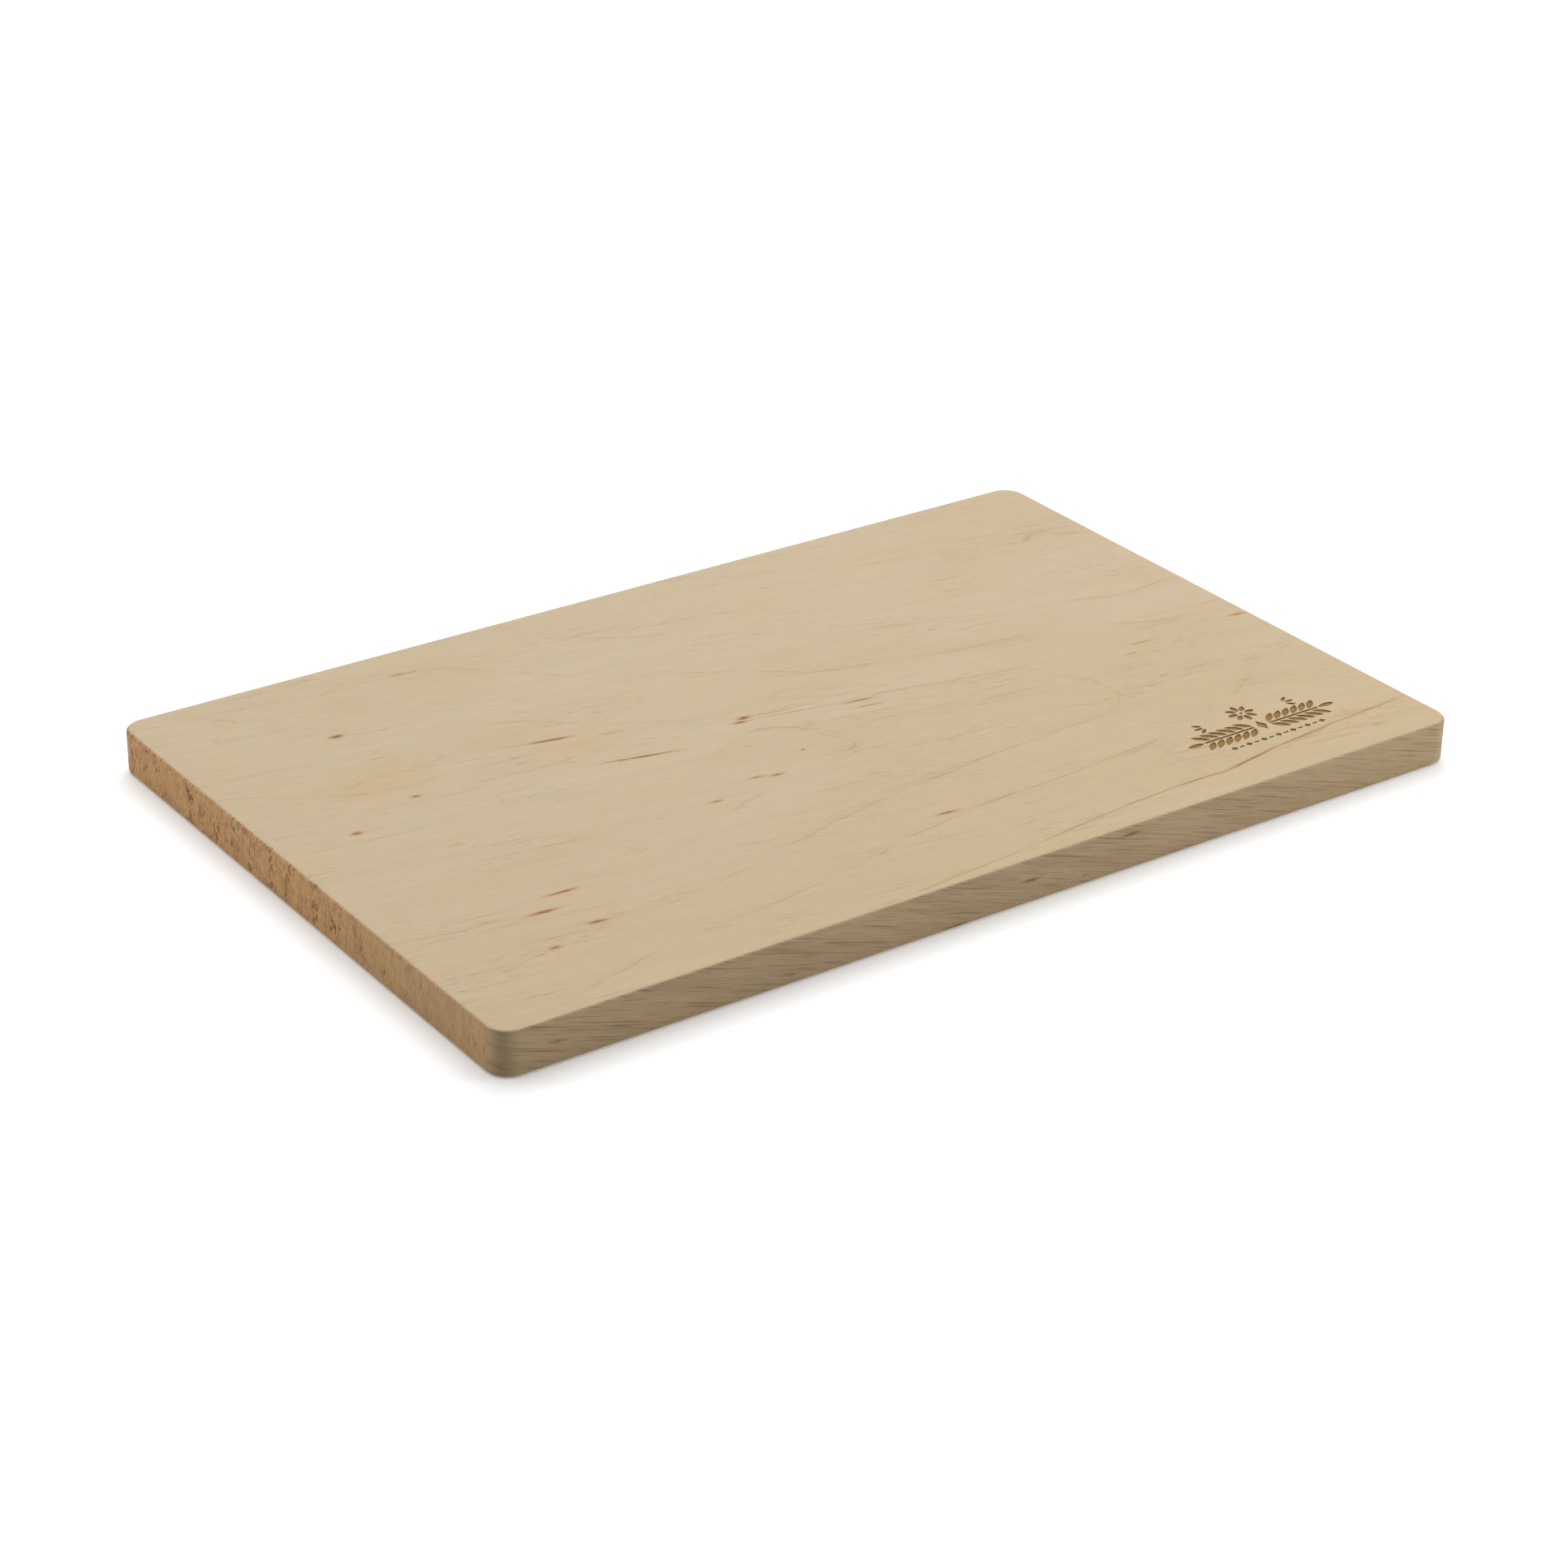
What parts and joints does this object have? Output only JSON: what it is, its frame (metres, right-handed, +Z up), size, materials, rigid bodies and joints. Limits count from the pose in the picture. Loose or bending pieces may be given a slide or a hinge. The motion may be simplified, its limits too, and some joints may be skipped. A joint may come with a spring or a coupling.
{
  "type": "solid wood board",
  "caption": "Flat rectangular solid-wood board with rounded corners and eased edges, for cutting, serving or display, with a scorched leaf emblem.",
  "frame": {"origin": "centre of the board's underside, on the surface it lies on", "axes": "+X along the length and the grain, towards the end with the emblem; +Y across the board, away from the emblem; +Z up through the thickness"},
  "size_m": [0.35, 0.225, 0.0145],
  "materials": {
    "solid_wood": "sanded, bare or lightly oiled",
    "scorched_wood": "burnt by an engraving beam, matt"
  },
  "bodies": {
    "root": {"board": "solid_wood", "scorched_garland": "scorched_wood", "scorched_rosette": "scorched_wood", "scorched_sprigs": "scorched_wood", "scorched_border": "scorched_wood"}
  },
  "joints": []
}
